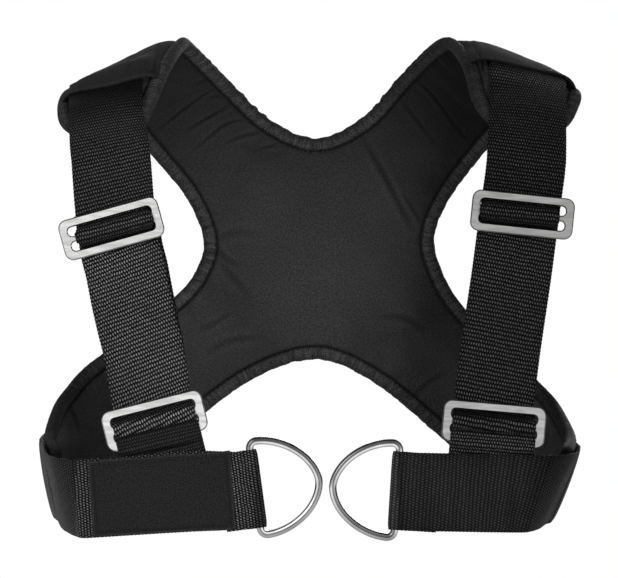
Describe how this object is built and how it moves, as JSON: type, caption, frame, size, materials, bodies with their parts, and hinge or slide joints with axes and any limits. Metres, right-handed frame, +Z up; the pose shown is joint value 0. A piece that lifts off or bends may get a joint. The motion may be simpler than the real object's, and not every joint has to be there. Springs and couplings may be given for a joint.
{
  "type": "flywheel training shoulder harness",
  "caption": "Padded X-shaped back panel with shoulder pads, webbing straps, sliding three-bar adjusters and a split chest belt ending in two swinging D-rings.",
  "frame": {"origin": "midway between the two shoulders, level with the undersides of the pads where they cross the shoulders", "axes": "+X to the viewer's right, -Y out of the wearer's chest towards the viewer, +Z up"},
  "size_m": [0.3503, 0.1726, 0.3222],
  "materials": {
    "cloth": "matt black woven lining and cover cloth",
    "foam": "closed cell padding, covered",
    "tape": "black folded edge tape",
    "webbing": "black coarse polypropylene or nylon webbing",
    "satin_steel": "satin plated steel",
    "bright_steel": "polished welded wire",
    "patch": "smooth black woven patch, bare"
  },
  "bodies": {
    "harness": {"back_foam": "foam", "back_liner": "cloth", "back_shell": "cloth", "neck_binding": "tape", "waist_binding": "tape", "left_armhole_binding": "tape", "right_armhole_binding": "tape", "label_patch": "patch", "left_shoulder_cover": "cloth", "left_shoulder_strap": "webbing", "left_ring_tab": "webbing", "left_belt": "webbing", "right_shoulder_cover": "cloth", "right_shoulder_strap": "webbing", "right_ring_tab": "webbing", "right_belt": "webbing"},
    "left_adjuster": {"left_upper_slide": "satin_steel", "left_slide_keeper": "webbing"},
    "right_adjuster": {"right_upper_slide": "satin_steel", "right_slide_keeper": "webbing"},
    "left_lower_ring": {"left_lower_slide": "satin_steel"},
    "right_lower_ring": {"right_lower_slide": "satin_steel"},
    "left_belt_ring": {"left_d_ring": "bright_steel"},
    "right_belt_ring": {"right_d_ring": "bright_steel"}
  },
  "joints": [
    {"name": "left_adjuster_travel", "type": "slide", "parent": "harness", "child": "left_adjuster", "axis": [-0.1702, 0.0508, 0.9841], "range_m": [-0.06, 0.01]},
    {"name": "right_adjuster_travel", "type": "slide", "parent": "harness", "child": "right_adjuster", "axis": [0.1409, 0.051, 0.9887], "range_m": [-0.06, 0.008]},
    {"name": "left_lower_tilt", "type": "hinge", "parent": "harness", "child": "left_lower_ring", "pos_m": [-0.09881, -0.07812, -0.22858], "axis": [0.9703, 0.0125, 0.2416], "range_deg": [0, 5]},
    {"name": "right_lower_tilt", "type": "hinge", "parent": "harness", "child": "right_lower_ring", "pos_m": [0.1101, -0.07823, -0.23075], "axis": [0.9962, -0.0045, -0.087], "range_deg": [0, 5]},
    {"name": "left_ring_swing", "type": "hinge", "parent": "harness", "child": "left_belt_ring", "pos_m": [-0.0384, -0.0775, -0.2609], "axis": [-0.134, 0, 0.991], "range_deg": [-110, 110]},
    {"name": "right_ring_swing", "type": "hinge", "parent": "harness", "child": "right_belt_ring", "pos_m": [0.0503, -0.0775, -0.2621], "axis": [0.0663, 0, 0.9978], "range_deg": [-110, 110]}
  ]
}
